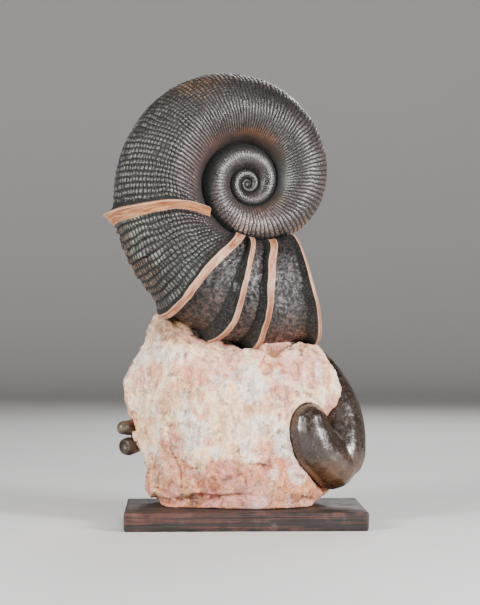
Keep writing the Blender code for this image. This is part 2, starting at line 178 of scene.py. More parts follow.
def curve(table):
    """A smooth curve through the table's rows, as a function of numpy arrays."""
    at = np.array([row[0] for row in table], dtype=float)
    value = np.array([row[1] for row in table], dtype=float)
    last = len(table) - 1
    low = np.maximum(np.arange(last + 1) - 1, 0)
    high = np.minimum(np.arange(last + 1) + 1, last)
    slope = (value[high] - value[low]) / (at[high] - at[low])

    def read(x):
        x = np.clip(np.asarray(x, dtype=float), at[0], at[-1])
        k = np.clip(np.searchsorted(at, x, side="left") - 1, 0, last - 1)
        span = at[k + 1] - at[k]
        t = (x - at[k]) / span
        ease = t * t * (3 - 2 * t)
        bend = t * (1 - t) * span * ((1 - t) * slope[k] - t * slope[k + 1])
        return (1 - ease) * value[k] + ease * value[k + 1] + bend

    return read


def even(table, x):
    """The table's values at x, straight between its rows."""
    return np.interp(x, [row[0] for row in table], [row[1] for row in table])


def ease(low, high, x):
    t = np.clip((x - low) / (high - low), 0, 1)
    return t * t * (3 - 2 * t)


def mound(x, at, reach, y=0.0, y_at=0.0, y_reach=1.0):
    """1 at a place and 0 far from it, along x and, where it is given, along y."""
    return np.exp(-(((x - at) / reach) ** 2) - ((y - y_at) / y_reach) ** 2)


def between(marks, x):
    """1 from the second mark to the third, and 0 outside the first and the last."""
    return ease(*marks[:2], x) * (1 - ease(*marks[2:], x))


def lattice(ix, iy, iz, seed):
    """Fixed random values from 0 to 1 at whole-number places."""
    n = (ix * 73856093 ^ iy * 19349663 ^ iz * 83492791 ^ seed * 40503793) & 0x7FFFFFFF
    n = ((n ^ (n >> 13)) * 1274126177) & 0x7FFFFFFF
    n = ((n ^ (n >> 15)) * 1103515245 + 12345) & 0x7FFFFFFF
    n = n ^ (n >> 11)
    return (n & 0xFFFFF) / 0xFFFFF


def clouds(points, size, seed=0):
    """Smooth noise from -1 to 1, with lumps of the given size."""
    p = points / size
    cell = np.floor(p).astype(np.int64)
    t = p - cell
    t = t * t * t * (t * (t * 6 - 15) + 10)
    total = 0.0
    for corner in range(8):
        d = np.array((corner & 1, corner >> 1 & 1, corner >> 2 & 1))
        weight = np.prod(np.where(d, t, 1 - t), axis=-1)
        total = total + weight * lattice(*np.moveaxis(cell + d, -1, 0), seed)
    return total * 2 - 1


def layers(points, size, count, seed=0):
    """Clouds of halving sizes, added up."""
    return sum(clouds(points, size / 2**i, seed + i) / 2**i for i in range(count))


def chips(points, size, seed=0):
    """Facets like those of broken rock: each cell of space has its own slope and height."""
    p = points / size
    cell = np.floor(p).astype(np.int64)
    near = np.full(len(p), 1e9)
    height = np.zeros(len(p))
    for shift in np.ndindex(3, 3, 3):
        c = np.moveaxis(cell + np.array(shift) - 1, -1, 0)
        way = np.stack([lattice(*c, seed + k) for k in range(3)], -1)
        offset = p - (np.moveaxis(c, 0, -1) + way)
        distance = (offset**2).sum(-1)
        slope = np.stack([lattice(*c, seed + 3 + k) for k in range(3)], -1) * 2 - 1
        level = (offset * slope).sum(-1) + lattice(*c, seed + 6) - 0.5
        nearer = distance < near
        near = np.where(nearer, distance, near)
        height = np.where(nearer, level, height)
    return height


def linear(colour):
    """A colour from 0-255 screen values to linear light."""
    c = np.array(colour, dtype=float) / 255
    return np.where(c <= 0.04045, c / 12.92, ((c + 0.055) / 1.055) ** 2.4)


# Section: meshes.


def make_mesh(name, points, faces, attributes=None):
    """An object from numpy points and faces, each attribute one value or colour for every point."""
    mesh = bpy.data.meshes.new(name)
    mesh.from_pydata(points.tolist(), [], faces)
    for key, values in (attributes or {}).items():
        set_values(mesh, key, values)
    mesh.shade_smooth()
    obj = bpy.data.objects.new(name, mesh)
    bpy.context.scene.collection.objects.link(obj)
    return obj


def ring_faces(rings, sides):
    """Faces of a tube of rings, with a fan at each end to two last points."""
    i, j = np.meshgrid(np.arange(rings - 1), np.arange(sides), indexing="ij")
    a = i * sides + j
    b = i * sides + (j + 1) % sides
    faces = np.stack((a, a + sides, b + sides, b), -1).reshape(-1, 4).tolist()
    first, last = rings * sides, rings * sides + 1
    end = (rings - 1) * sides
    for k in range(sides):
        n = (k + 1) % sides
        faces.append((first, k, n))
        faces.append((last, end + n, end + k))
    return faces


def vectors(items, key):
    out = np.empty(len(items) * 3)
    items.foreach_get(key, out)
    return out.reshape(-1, 3)


def remeshed(node, name, voxel, smoothing):
    """A fine even copy of a solid's surface, smoothed, with its points and normals."""
    obj = bpy.data.objects.new(name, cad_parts[node].data.copy())
    obj.data.materials.clear()
    bpy.context.scene.collection.objects.link(obj)
    grid = obj.modifiers.new("grid", "REMESH")
    grid.mode = "VOXEL"
    grid.voxel_size = voxel
    relax = obj.modifiers.new("relax", "SMOOTH")
    relax.factor = 0.5
    relax.iterations = smoothing
    bpy.context.view_layer.update()
    seen = obj.evaluated_get(bpy.context.evaluated_depsgraph_get())
    mesh = bpy.data.meshes.new_from_object(seen)
    obj.modifiers.clear()
    obj.data = mesh
    mesh.name = name
    for key in ("sharp_face", "sharp_edge"):
        if key in mesh.attributes:
            mesh.attributes.remove(mesh.attributes[key])
    mesh.shade_smooth()
    return obj, vectors(mesh.vertices, "co"), vectors(mesh.vertex_normals, "vector")


def set_points(mesh, points):
    mesh.vertices.foreach_set("co", points.ravel())
    mesh.update()


def set_values(mesh, key, values):
    if values.ndim == 2:
        layer = mesh.attributes.new(key, "FLOAT_COLOR", "POINT")
        full = np.ones((len(values), 4))
        full[:, :3] = values
        layer.data.foreach_set("color", full.ravel())
    else:
        mesh.attributes.new(key, "FLOAT", "POINT").data.foreach_set("value", values)


def mix(a, b, share):
    share = np.asarray(share)[..., None]
    return a * (1 - share) + b * share


# Section: materials.


class Nodes:
    """Short calls for building a node material."""

    def __init__(self, name):
        self.material = bpy.data.materials.new(name)
        self.material.use_nodes = True
        self.tree = self.material.node_tree
        self.shader = self.tree.nodes["Principled BSDF"]

    def add(self, kind, **inputs):
        node = self.tree.nodes.new(kind)
        for key, value in inputs.items():
            if key in node.inputs:
                self.feed(node.inputs[key], value)
            else:
                setattr(node, key, value)
        return node

    def feed(self, socket, value):
        if isinstance(value, bpy.types.NodeSocket):
            self.tree.links.new(value, socket)
        elif isinstance(value, (tuple, list, np.ndarray)) and socket.type == "RGBA" and len(value) == 3:
            socket.default_value = (*[float(v) for v in value], 1.0)
        else:
            socket.default_value = value

    def attribute(self, name, out="Fac"):
        return self.add("ShaderNodeAttribute", attribute_name=name).outputs[out]

    def place(self, scale=(1, 1, 1)):
        """Object coordinates, stretched."""
        coords = self.add("ShaderNodeTexCoord").outputs["Object"]
        return self.add("ShaderNodeMapping", Vector=coords, Scale=scale).outputs["Vector"]

    def noise(self, scale, detail=3.0, rough=0.55, stretch=(1, 1, 1), distortion=0.0):
        node = self.add("ShaderNodeTexNoise", Vector=self.place(stretch), Scale=scale, Detail=detail,
                        Roughness=rough, Distortion=distortion)
        return node.outputs["Fac"]

    def cells(self, scale, feature="F1", out="Distance", stretch=(1, 1, 1)):
        node = self.add("ShaderNodeTexVoronoi", feature=feature)
        self.feed(node.inputs["Vector"], self.place(stretch))
        self.feed(node.inputs["Scale"], scale)
        return node.outputs[out]

    def span(self, value, low, high, to_low=0.0, to_high=1.0):
        """A value from one range to another, held at its ends."""
        node = self.add("ShaderNodeMapRange")
        node.interpolation_type = "SMOOTHSTEP"
        for key, number in (("Value", value), ("From Min", low), ("From Max", high),
                            ("To Min", to_low), ("To Max", to_high)):
            self.feed(node.inputs[key], number)
        return node.outputs["Result"]

    def math(self, operation, a, b=0.0):
        node = self.add("ShaderNodeMath", operation=operation)
        self.feed(node.inputs[0], a)
        self.feed(node.inputs[1], b)
        return node.outputs[0]

    def times(self, a, b):
        return self.math("MULTIPLY", a, b)

    def blend(self, share, a, b, mode="MIX"):
        node = self.add("ShaderNodeMix", data_type="RGBA", blend_type=mode)
        self.feed(node.inputs["Factor"], share)
        self.feed(node.inputs[6], a)
        self.feed(node.inputs[7], b)
        return node.outputs[2]

    def tinted(self, colour, by):
        return self.blend(1.0, colour, by, "MULTIPLY")

    def bump(self, height, strength, distance, normal=None):
        node = self.add("ShaderNodeBump", Strength=strength, Distance=distance, Height=height)
        if normal is not None:
            self.feed(node.inputs["Normal"], normal)
        return node.outputs["Normal"]

    def finish(self, **inputs):
        for key, value in inputs.items():
            self.feed(self.shader.inputs[key.replace("_", " ")], value)
        return self.material


def shell_material():
    """Dark fossil shell with a satin polish: its grooves, seams and recesses are painted dark as shade, and
    its ribs are paler with wear and painted highlights.
    """
    n = Nodes("fossil_shell")
    tint = n.attribute("tint", "Color")
    relief = n.attribute("relief")
    band = n.attribute("band")
    mottle = n.attribute("mottle")
    recess = n.attribute("recess")
    patch = n.noise(34.0, 5.0, 0.6)
    grain = n.noise(420.0, 4.0, 0.6)
    speck = n.noise(1100.0, 2.0, 0.5)
    worm = n.noise(360.0, 3.0, 0.60, distortion=0.7)
    worm = n.math("SUBTRACT", 1.0, n.span(n.math("ABSOLUTE", n.math("SUBTRACT", worm, 0.5)), 0.0, 0.085))
    # Darker where the relief attribute is low: painted shade in the rib grooves, seams and recesses.
    ridge = n.span(relief, 0.25, 1.0)
    dark = n.tinted(tint, (0.05, 0.042, 0.038))
    colour = n.blend(ridge, dark, tint)
    pale = n.tinted(colour, (1.5, 1.45, 1.45))
    colour = n.blend(n.span(patch, 0.42, 0.66), colour, pale)
    # Pale flecks on the high ribs: wear, and painted highlights standing in for the polish's glints.
    worn = n.times(n.span(grain, 0.47, 0.62), n.span(relief, 0.55, 1.0))
    glint_and_wear_colour = n.tinted(colour, (3.4, 3.35, 3.35))
    colour = n.blend(n.times(worn, 0.80), colour, glint_and_wear_colour)
    colour = n.blend(n.times(n.span(speck, 0.54, 0.64), 0.55), colour, linear((30, 26, 24)))
    cracked = n.times(n.times(worm, mottle), 0.36)
    colour = n.blend(cracked, colour, n.tinted(colour, (0.22, 0.20, 0.20)))

    # Paler dots on the beads in the collars' shaded recesses: painted highlights.
    bead = n.times(n.span(n.cells(330.0), 0.58, 0.10), recess)
    colour = n.blend(n.times(bead, 0.30), colour, linear((96, 88, 82)))

    streak = n.add("ShaderNodeTexNoise", Vector=n.attribute("streak", "Vector"), Scale=70.0, Detail=5.0,
                   Roughness=0.65, Distortion=0.3).outputs["Fac"]
    tan = n.blend(n.span(streak, 0.42, 0.62), n.attribute("edge", "Color"), linear((138, 76, 40)))
    tan = n.blend(n.times(n.span(grain, 0.52, 0.68), 0.35), tan, linear((112, 74, 52)))
    tan = n.blend(n.times(n.attribute("rim"), 0.65), tan, linear((210, 170, 142)))
    colour = n.blend(band, colour, tan)

    rough = n.math("ADD", n.span(patch, 0.3, 0.7, 0.19, 0.32), n.span(grain, 0.3, 0.8, 0.0, 0.12))
    rough = n.math("ADD", rough, n.span(ridge, 0.0, 1.0, 0.56, 0.0))
    rough = n.math("ADD", rough, n.times(band, 0.20))
    rough = n.math("ADD", rough, n.times(recess, 0.25))
    normal = n.bump(grain, 0.60, 0.0014)
    normal = n.bump(n.times(cracked, -1.0), 0.6, 0.0012, normal)
    normal = n.bump(speck, 0.30, 0.0004, normal)
    normal = n.bump(bead, 0.50, 0.0008, normal)
    return n.finish(Base_Color=colour, Roughness=rough, Normal=normal, Specular_IOR_Level=0.55,
                    Coat_Weight=0.14, Coat_Roughness=0.20)


def fossil_material(name, roughness):
    """Smooth brown fossil, its colour from the mesh, with fine scratches and pits."""
    n = Nodes(name)
    tint = n.attribute("tint", "Color")
    patch = n.noise(45.0, 6.0, 0.6)
    grain = n.noise(300.0, 5.0, 0.6)
    speck = n.noise(900.0, 2.0, 0.5)
    colour = n.blend(n.span(patch, 0.35, 0.65), n.tinted(tint, (0.55, 0.52, 0.5)), tint)
    colour = n.blend(n.times(n.span(grain, 0.52, 0.70), 0.40), colour, linear((112, 92, 76)))
    colour = n.blend(n.times(n.span(speck, 0.58, 0.68), 0.45), colour, linear((26, 18, 13)))
    rough = n.span(patch, 0.3, 0.7, roughness, roughness + 0.14)
    rough = n.math("ADD", rough, n.span(grain, 0.4, 0.8, 0.0, 0.12))
    normal = n.bump(speck, 0.25, 0.0004, n.bump(grain, 0.35, 0.0008))
    return n.finish(Base_Color=colour, Roughness=rough, Normal=normal, Specular_IOR_Level=0.7,
                    Coat_Weight=0.15, Coat_Roughness=0.2)


def stone_material():
    """Limestone, its colours from the mesh, with crystals, specks, dark pores and short cracks."""
    n = Nodes("limestone")
    tint = n.attribute("tint", "Color")
    fine = n.noise(170.0, 6.0, 0.65)
    grit = n.noise(700.0, 4.0, 0.6)
    crystal = n.cells(520.0, out="Color")
    flake = n.cells(170.0, out="Color", stretch=(1.0, 1.0, 0.6))
    blotch = n.noise(48.0, 6.0, 0.68, stretch=(1.0, 1.0, 0.7))
    shaded = n.tinted(tint, (0.66, 0.62, 0.60))
    lit = n.tinted(tint, (1.16, 1.18, 1.20))
    colour = n.blend(n.span(flake, 0.30, 0.70), shaded, lit)
    colour = n.blend(0.42, tint, colour)
    stained = n.tinted(colour, (0.70, 0.58, 0.50))
    colour = n.blend(n.span(blotch, 0.50, 0.36), colour, stained)
    colour = n.blend(n.times(n.span(fine, 0.47, 0.34), 0.45), colour, shaded)
    colour = n.blend(n.times(n.span(crystal, 0.66, 0.74), 0.15), colour, linear((248, 240, 230)))
    colour = n.blend(n.times(n.span(crystal, 0.30, 0.24), 0.26), colour, linear((120, 92, 78)))
    near = n.math("ABSOLUTE", n.math("SUBTRACT", n.noise(60.0, 5.0, 0.6, stretch=(1.0, 1.0, 0.5)), 0.5))
    crack = n.times(n.span(near, 0.011, 0.003), n.span(n.noise(40.0, 2.0), 0.50, 0.58))
    scratch = n.math("ABSOLUTE", n.math("SUBTRACT", n.noise(90.0, 3.0, 0.5, stretch=(1.0, 1.0, 0.22)), 0.5))
    scratch = n.times(n.span(scratch, 0.010, 0.003), n.span(n.noise(30.0, 3.0), 0.50, 0.60))
    crack = n.math("MAXIMUM", crack, n.times(scratch, 0.8))
    pores = n.cells(330.0)
    holes = n.times(n.span(pores, 0.26, 0.12), n.span(n.noise(70.0, 4.0), 0.50, 0.62))
    dark = n.math("MAXIMUM", n.times(crack, 0.60), n.times(holes, 0.50))
    colour = n.blend(dark, colour, linear((74, 60, 52)))
    colour = n.blend(n.times(n.attribute("pit"), 0.75), colour, linear((104, 80, 66)))
    height = n.math("ADD", n.times(fine, 0.6), n.times(grit, 0.25))
    height = n.math("ADD", height, n.times(flake, 0.35))
    height = n.math("SUBTRACT", height, n.times(dark, 0.6))
    normal = n.bump(height, 0.85, 0.0022)
    return n.finish(Base_Color=colour, Roughness=n.span(fine, 0.3, 0.7, 0.70, 0.92), Normal=normal,
                    Specular_IOR_Level=0.25)


def board_material():
    """Black painted wood, rubbed through to red-brown along the grain."""
    n = Nodes("painted_wood")
    grain = n.noise(9.0, 6.0, 0.65, stretch=(1.0, 16.0, 42.0), distortion=0.4)
    streak = n.noise(5.0, 5.0, 0.7, stretch=(1.0, 14.0, 60.0))
    dust = n.noise(60.0, 5.0, 0.6)
    edge = n.attribute("edge_wear")
    paint = n.blend(n.span(grain, 0.3, 0.7), linear((17, 13, 12)), linear((42, 34, 31)))
    wood = n.blend(n.span(dust, 0.3, 0.7), linear((60, 32, 25)), linear((90, 53, 43)))
    worn = n.times(edge, n.span(dust, 0.40, 0.62, 0.0, 0.7))
    rubbed = n.math("MAXIMUM", n.span(streak, 0.52, 0.62), worn)
    colour = n.blend(rubbed, paint, wood)
    colour = n.blend(n.times(n.span(dust, 0.55, 0.8), 0.3), colour, linear((110, 98, 92)))
    normal = n.bump(n.math("ADD", grain, n.times(streak, 0.5)), 0.5, 0.0012)
    return n.finish(Base_Color=colour, Roughness=n.span(dust, 0.3, 0.7, 0.5, 0.72), Normal=normal,
                    Specular_IOR_Level=0.45)


# Section: shell.

LOG_RADIUS = curve([(a, math.log(r)) for a, r in GROWTH])
LEAD_AT = curve(LEAD)
LEAD_POWER_AT = curve(LEAD_POWER)


def outer_radius(a):
    small = GROWTH[0][1] * WHORL_RATIO ** ((np.minimum(a, GROWTH[0][0]) - GROWTH[0][0]) / 360)
    return np.where(a < GROWTH[0][0], small, np.exp(LOG_RADIUS(a)))


def ring_shape(a):
    """Centre radius and half height of the rings' round sections."""
    out, below = outer_radius(a), outer_radius(a + LEAD_AT(a) - 360)
    inside = below - WHORL_OVERLAP * (out - below) / 2
    return (out + inside) / 2, (out - inside) / 2


def dorsal_lead(a):
    """How far each ring's inner line runs ahead of its outer one."""
    (c1, r1), (c2, r2) = ring_shape(a + LEAD_AT(a) - 360), ring_shape(a)
    gap = c2 - c1
    along = (gap * gap + r1 * r1 - r2 * r2) / (2 * gap)
    turn = np.arccos(np.clip((along - gap) / r2, -1, 1))
    return LEAD_AT(a) / ((1 - np.cos(turn)) / 2) ** LEAD_POWER_AT(a)


def shell_points(a, turn, lift, collar=0.0, ahead=0.0):
    """Points of rings at growth angles a, at turns round the section from the venter."""
    centre, half = (v[:, None] for v in ring_shape(a))
    inward = (1 - np.cos(turn)) / 2
    theta = np.radians(a[:, None] + ahead + dorsal_lead(a)[:, None] * inward ** LEAD_POWER_AT(a)[:, None])
    follow = np.where(a < COLLARS[0][0] + 12, 0.85, 0.35)[:, None]
    bent = np.sign(turn) * (np.minimum(np.abs(turn), 1.3) + np.maximum(np.abs(turn) - 1.3, 0) * follow)
    radius = centre + (half + lift) * np.cos(turn) + collar * np.cos(bent)
    side = (half * SECTION_WIDTH + lift) * np.sin(turn) + collar * np.sin(bent)
    return np.stack((radius * np.cos(theta), -side, radius * np.sin(theta)), -1)


def seam_turns(a):
    """Turns of each ring at which it meets the whorl inside it, and the whorl round it."""
    later = np.arange(COIL_START, APERTURE, 1.0)
    outer_one = np.interp(a, later + LEAD_AT(later) - 360, later, right=np.nan)
    (c1, r1), (c2, r2) = ring_shape(a + LEAD_AT(a) - 360), ring_shape(a)
    gap = c2 - c1
    inner = np.arccos(np.clip(((gap * gap + r1 * r1 - r2 * r2) / (2 * gap) - gap) / r2, -1, 1))
    (c1, r1), (c2, r2) = ring_shape(a), ring_shape(outer_one)
    gap = c2 - c1
    outer = np.arccos(np.clip((gap * gap + r1 * r1 - r2 * r2) / (2 * gap) / r1, -1, 1))
    return inner, np.where(np.isnan(outer), -9.0, outer)


def rib_phase():
    a = np.arange(COIL_START, 300, 0.05)
    steps = 0.05 / even(RIB_SPACING, a)
    return a, np.cumsum(steps) - steps[0]


PHASE_ANGLES, PHASES = rib_phase()


def ring_angles(low, high, offsets):
    """Growth angles of the rings from low to high, at fixed places on each rib and at the collars."""
    first, last = np.interp((low, high), PHASE_ANGLES, PHASES)
    whole = np.arange(math.floor(first), math.ceil(last) + 1)
    phases = (whole[:, None] + np.array(offsets)).ravel()
    angles = np.interp(phases, PHASES, PHASE_ANGLES)
    marks = [low, high]
    for edge, _, rise, flat, fall in COLLARS:
        marks += [edge - rise * s for s in (1.0, 0.7, 0.45, 0.25, 0.1, 0.03, 0.0)]
        marks += [edge + flat * s for s in (0.15, 0.5, 0.85, 1.0)]
        marks += [edge + flat + fall * s for s in (0.4, 1.0)]
    marks = np.array([m for m in marks if low <= m <= high])
    angles = np.array([a for a in angles if low < a < high and np.abs(marks - a).min() > 0.11])
    return np.unique(np.round(np.concatenate((angles, marks)), 5))


def collar_lift(a):
    """Height of the collars, and the share of each ring that is a collar's edge or its riser, whose recess is
    painted with shade.
    """
    height, band, riser = np.zeros_like(a), np.zeros_like(a), np.zeros_like(a)
    for k, (edge, tall, rise, flat, fall) in enumerate(COLLARS):
        t = (a - edge + rise) / rise
        up = (t > 0) & (t <= 1)
        height = np.where(up, tall * t.clip(0, 1) ** RISE_POWERS[k], height)
        riser = np.where(up, ease(*SHADED_RECESSES[k], t) * (1 - ease(0.95, 1.0, t)), riser)
        top = (a > edge) & (a <= edge + flat + 1e-6)
        height = np.where(top, tall * (1 - 0.07 * ((a - edge) / flat).clip(0, 1) ** 2), height)
        down = (a > edge + flat + 1e-6) & (a < edge + flat + fall)
        height = np.where(down, tall * 0.93 * (1 - (a - edge - flat) / fall), height)
        reach = fall * FIRST_EDGE_FALL if k == 0 else fall * 0.2
        start = edge - rise * (0.12 if k == 0 else 0.02)
        band = np.where((a >= start) & (a <= edge + flat + reach + 1e-6), 1.0, band)
    return height, band, riser


def collar_shift(a, turn):
    """Degrees by which points near the collars move along the growth, to give their edges a true width."""
    centre, half = (v[:, None] for v in ring_shape(a))
    inward = (1 - np.cos(turn)) / 2
    radius = centre + half * np.cos(turn)
    shift = np.zeros_like(radius)
    curl = ease(math.radians(105), math.radians(145), np.abs(turn))
    level = ease(math.radians(20), math.radians(80), np.abs(turn)) * (1 - curl)
    push = FIRST_COLLAR_CURL * curl + FIRST_COLLAR_LEVEL * level
    shift += push * mound(a[:, None], COLLARS[0][0] + FIRST_COLLAR_BEND[0], FIRST_COLLAR_BEND[1])
    for (edge, _, rise, flat, _), band in zip(COLLARS, COLLAR_EDGES):
        if band is None:
            continue
        near, far, moved = band
        middle, reach = edge + flat / 2, flat / 2
        step = np.array((middle - 0.5, middle + 0.5))
        spread = dorsal_lead(step)[:, None, None] * inward[None] ** LEAD_POWER_AT(step)[:, None, None]
        scale = np.radians(1 + spread[1] - spread[0]) * radius
        width = near + (far - near) * inward
        new_reach = width / scale / 2
        middle_shift = moved * inward ** 3 / scale
        before, after = rise + 2.0, 7.0
        new_reach = np.minimum(new_reach, reach + 3.6)
        middle_shift = np.clip(middle_shift, -1.2, 1.2)
        u = a[:, None] - middle
        low, high = -new_reach + middle_shift, new_reach + middle_shift
        left = low + (u + reach) * (low + reach + before) / before
        right = high + (u - reach) * (reach + after - high) / after
        moved_u = np.where(u < -reach, left, np.where(u > reach, right, middle_shift + u * new_reach / reach))
        inside = (u > -reach - before) & (u < reach + after)
        shift += np.where(inside, moved_u - u, 0.0)
    for (edge, _, _, flat, _), bend in zip(COLLARS, COLLAR_BENDS):
        if bend is not None:
            push = curve(bend)(np.degrees(np.abs(turn)))
            shift += push * mound(a[:, None], edge + flat / 2, BEND_REACH)
    return shift


# Patches of colour on the shell: growth angle and reach, turn from the venter and reach, colour, share.
SHELL_GREY = (40, 34, 33)
# How much darker the inner whorls are and the growth over which that starts, and the same for the
# umbilical wall of whorls with this half height or more.
INNER_DARKER = 0.30
INNER_GROWTH = (-150, -230)
WALL_DARKER = 0.42
WALL_FROM = 0.02
SHELL_PATCHES = (
    (118, 16, 34, 24, (96, 68, 42), 0.85),
    # A near-black patch over the top of the coil: painted shade.
    (88, 28, 40, 66, (26, 21, 20), 0.9),
    (92, 20, 10, 30, (58, 44, 42), 0.6),
    (165, 30, 25, 55, (66, 68, 62), 0.75),
    (170, 40, 125, 22, (74, 60, 58), 0.8),
    (85, 34, 146, 16, (50, 34, 25), 0.95),
    (82, 26, 139, 9, (86, 54, 32), 0.85),
    (62, 9, 134, 8, (100, 60, 32), 0.75),
    (38, 16, 150, 16, (26, 21, 18), 0.9),
    (140, 22, 146, 16, (74, 48, 38), 0.85),
    (45, 16, 146, 16, (64, 50, 34), 0.85),
    (5, 26, 25, 40, (76, 54, 46), 0.8),
    (-40, 18, 12, 30, (104, 66, 40), 0.85),
    (-80, 34, 10, 30, (78, 54, 42), 0.75),
    # A green-grey patch on the umbilical wall at the right: its green tone, brightened as a painted
    # highlight.
    (6, 16, 136, 14, (84, 92, 80), 0.9),
    (-38, 20, 142, 18, (60, 48, 32), 0.9),
    (-74, 18, 140, 16, (74, 48, 34), 0.8),
    (204, 7, 36, 20, (74, 80, 70), 0.85),
    # A pale patch over the lower flank's ribs: painted light.
    (-92, 34, 76, 44, (102, 88, 82), 0.85),
    (8, 28, 66, 36, (66, 61, 61), 0.7),
    (216, 16, 4, 34, (70, 52, 38), 0.9),
    (230, 8, 70, 40, (50, 58, 50), 0.75),
    (244, 6, 22, 34, (64, 42, 32), 0.9),
    (243, 4, 112, 24, (104, 100, 102), 0.8),
    (260, 6, 22, 36, (60, 44, 36), 0.9),
    (280, 12, 14, 30, (84, 56, 44), 0.9),
    (279, 8, 100, 34, (80, 75, 77), 0.8),
    (259, 4, 108, 26, (92, 86, 88), 0.8),
)
# Colours of the collars' edges: the first, the others, and the amber low on those past this angle.
AMBER_FROM = 245
AMBER_TURNS = (112, 70)
EDGE_FIRST = (190, 132, 90)
EDGE_OTHERS = (188, 138, 110)
EDGE_AMBER = (112, 50, 14)
# Dents between the collars: growth angle and reach, turn from the venter and reach, share of the depth.
DENT_DEPTH = 0.0030
DENTS = (
    (242.5, 2.6, 122, 9, 1.0),
    (242.0, 2.4, 100, 8, 0.9),
    (241.0, 2.2, 80, 8, 0.8),
    (259.5, 2.2, 112, 14, 0.6),
    (278.0, 4.5, 118, 11, 0.6),
    (277.0, 4.5, 84, 13, 0.9),
)
# The pale line along the seam: its distance from it and half width, its growth, and its colour.
SEAM_LINE = (0.0014, 0.0009)
SEAM_GROWTH = (40, 70, 180, 200)
SEAM_COLOUR = (120, 94, 74)


def worn_tiles(growth, across, phase, bead):
    """Height and colour share of the tiles of outer shell left on the ribs between two collars."""
    near = 1 - ease(*TILE_TURNS, across)
    zone = between(TILE_GROWTH, growth) * near
    row, column = np.floor(phase / TILE_RIBS), np.floor(bead / TILE_BEADS)
    row_cell, column_cell = row.astype(np.int64), column.astype(np.int64)
    kept = lattice(row_cell, column_cell, 0 * row_cell, 9)
    kept = np.where(kept < 0.35 + 0.75 * ease(30, 8, across) + 0.4 * ease(212, 218, growth), 0.0, 1.0)
    along = phase / TILE_RIBS - row
    saw = near * (along - 0.45)
    return zone * kept, zone * saw


def with_mouth(points, values, sides):
    """Adds the mouth's rows to the last ring: a rounded rim, the wall inside it, and rough rock."""
    rim = points[-sides:]
    middle = rim.mean(0)
    theta = math.radians(APERTURE)
    back = np.array((math.sin(theta), 0.0, -math.cos(theta)))
    rows, rock = [], []
    for shrink, depth, rough in MOUTH_ROWS:
        row = rim + (middle - rim) * shrink + back * depth
        broken = 0.6 * chips(row, 0.012, 311) + 0.6 * layers(row, 0.012, 2, 301)
        row = row + back * (rough * broken)[:, None]
        rows.append(row)
        rock.append(np.full(sides, 1.0 if rough > 0 else 0.0))
    rock, row_depth = np.concatenate(rock), np.repeat([r[1] for r in MOUTH_ROWS], sides)
    extra = np.concatenate(rows)
    spots = ease(-0.6, 0.9, layers(extra, 0.021, 4, 305))
    fill = mix(linear(MOUTH_ROCK), linear(MOUTH_ROCK_PALE), spots)
    count = len(extra)
    added = {
        "tint": mix(np.broadcast_to(linear(MOUTH_WALL), (count, 3)), fill, rock),
        "edge": np.broadcast_to(values["edge"][-1], (count, 3)),
        "streak": np.tile(values["streak"][-sides:], (len(MOUTH_ROWS), 1)),
        "relief": np.where(rock > 0, 0.48, 0.4),
        "band": np.where((rock < 0.5) & (row_depth < 0.002), 1.0, 0.0),
        "rim": np.zeros(count),
        "mottle": np.zeros(count),
        "recess": np.zeros(count),
    }
    values = {key: np.concatenate((v, added[key])) for key, v in values.items()}
    return np.concatenate((points, extra)), values


